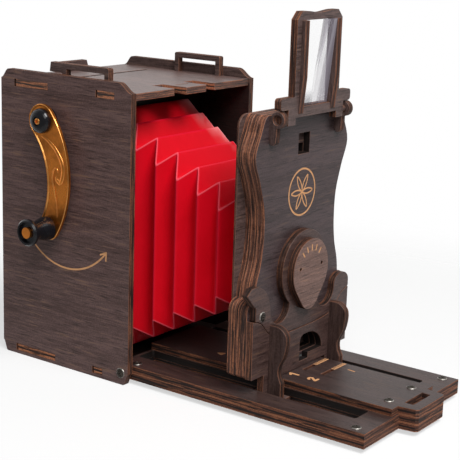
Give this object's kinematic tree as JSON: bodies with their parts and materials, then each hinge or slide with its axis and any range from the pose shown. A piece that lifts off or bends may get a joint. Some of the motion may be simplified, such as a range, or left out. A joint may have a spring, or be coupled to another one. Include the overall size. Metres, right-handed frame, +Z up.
{
  "type": "pinhole camera",
  "caption": "Folding plywood pinhole camera: box with a hand crank that feeds film out at the top, red bellows, sliding front board with a shutter lever, flip-up finder",
  "frame": {"origin": "mouth of the tripod socket, under the middle of the box, on the plane it stands on", "axes": "+Z up, +Y towards the camera's back along the bed, +X towards the side without the crank"},
  "size_m": [0.1011, 0.1902, 0.1561],
  "materials": {
    "stained_plywood": "dark stained plywood with burnt edges",
    "dark_plywood": "dark stained plywood",
    "gilt_brass": "satin gilt",
    "black_plastic": "glossy black",
    "steel": "satin",
    "red_leatherette": "satin red leatherette",
    "roller_rubber": "matte",
    "film_pack_plastic": "matte black",
    "clear_acrylic": "clear"
  },
  "bodies": {
    "case": {"left_side_panel": "stained_plywood", "right_side_panel": "stained_plywood", "top_panel": "stained_plywood", "bottom_panel": "stained_plywood", "left_strap_loop": "stained_plywood", "right_strap_loop": "stained_plywood", "bellows_gate": "dark_plywood", "film_mask": "dark_plywood", "film_pack": "film_pack_plastic", "pack_rails": "dark_plywood", "left_roller_plate": "dark_plywood", "right_roller_plate": "dark_plywood", "shaft_bush": "gilt_brass", "tripod_bush": "gilt_brass", "bed_top_sheet": "stained_plywood", "bed_bottom_sheet": "stained_plywood", "scale_plate": "stained_plywood", "bed_screws": "steel", "plate_screws": "steel", "bed_hinge_screws": "steel", "bellows": "red_leatherette"},
    "crank": {"crank_shaft": "steel", "drive_roller": "roller_rubber", "drive_gear": "gilt_brass", "hub_spacer": "black_plastic", "crank_arm": "gilt_brass", "hub_cap": "black_plastic", "hub_screw": "gilt_brass", "knob_axle": "gilt_brass"},
    "knob": {"crank_knob": "black_plastic"},
    "pressure": {"pressure_shaft": "steel", "pressure_roller": "steel", "pressure_gear": "gilt_brass"},
    "standard": {"bellows_frame": "dark_plywood", "board_rear_sheet": "stained_plywood", "board_middle_sheet": "stained_plywood", "board_front_sheet": "stained_plywood", "apron_sheet": "stained_plywood", "anchor_sheet": "stained_plywood", "left_gusset": "stained_plywood", "right_gusset": "stained_plywood", "sliders": "dark_plywood", "standard_screws": "steel", "pinhole_plate": "gilt_brass", "left_finder_eye": "stained_plywood", "right_finder_eye": "stained_plywood"},
    "shutter": {"shutter_lever": "stained_plywood", "shutter_peg": "steel"},
    "finder": {"finder_frame": "stained_plywood", "left_finder_blade": "stained_plywood", "right_finder_blade": "stained_plywood", "finder_lens": "clear_acrylic"},
    "door": {"rear_door": "stained_plywood"}
  },
  "joints": [
    {"name": "crank_turn", "type": "hinge", "parent": "case", "child": "crank", "pos_m": [-0.0414, 0.0084, 0.106], "axis": [1, 0, 0], "continuous": true},
    {"name": "pressure_turn", "type": "hinge", "parent": "case", "child": "pressure", "pos_m": [0, 0.0215, 0.106], "axis": [1, 0, 0], "continuous": true},
    {"name": "knob_spin", "type": "hinge", "parent": "crank", "child": "knob", "pos_m": [-0.052, 0.0044, 0.0615], "axis": [1, 0, 0], "continuous": true},
    {"name": "standard_slide", "type": "slide", "parent": "case", "child": "standard", "axis": [0, -1, 0], "range_m": [-0.044, 0.035], "deforming": ["bellows"]},
    {"name": "shutter_swing", "type": "hinge", "parent": "standard", "child": "shutter", "pos_m": [0, -0.095, 0.063], "axis": [0, -1, 0], "range_deg": [-110, 110]},
    {"name": "finder_fold", "type": "hinge", "parent": "standard", "child": "finder", "pos_m": [0, -0.0941, 0.1159], "axis": [1, 0, 0], "range_deg": [0, 155]},
    {"name": "door_fold", "type": "hinge", "parent": "case", "child": "door", "pos_m": [0, 0.0346, 0.008], "axis": [-1, 0, 0], "range_deg": [0, 90]}
  ],
  "couplings": [
    {"joint": "pressure_turn", "follows": "crank_turn", "ratio": -1}
  ]
}
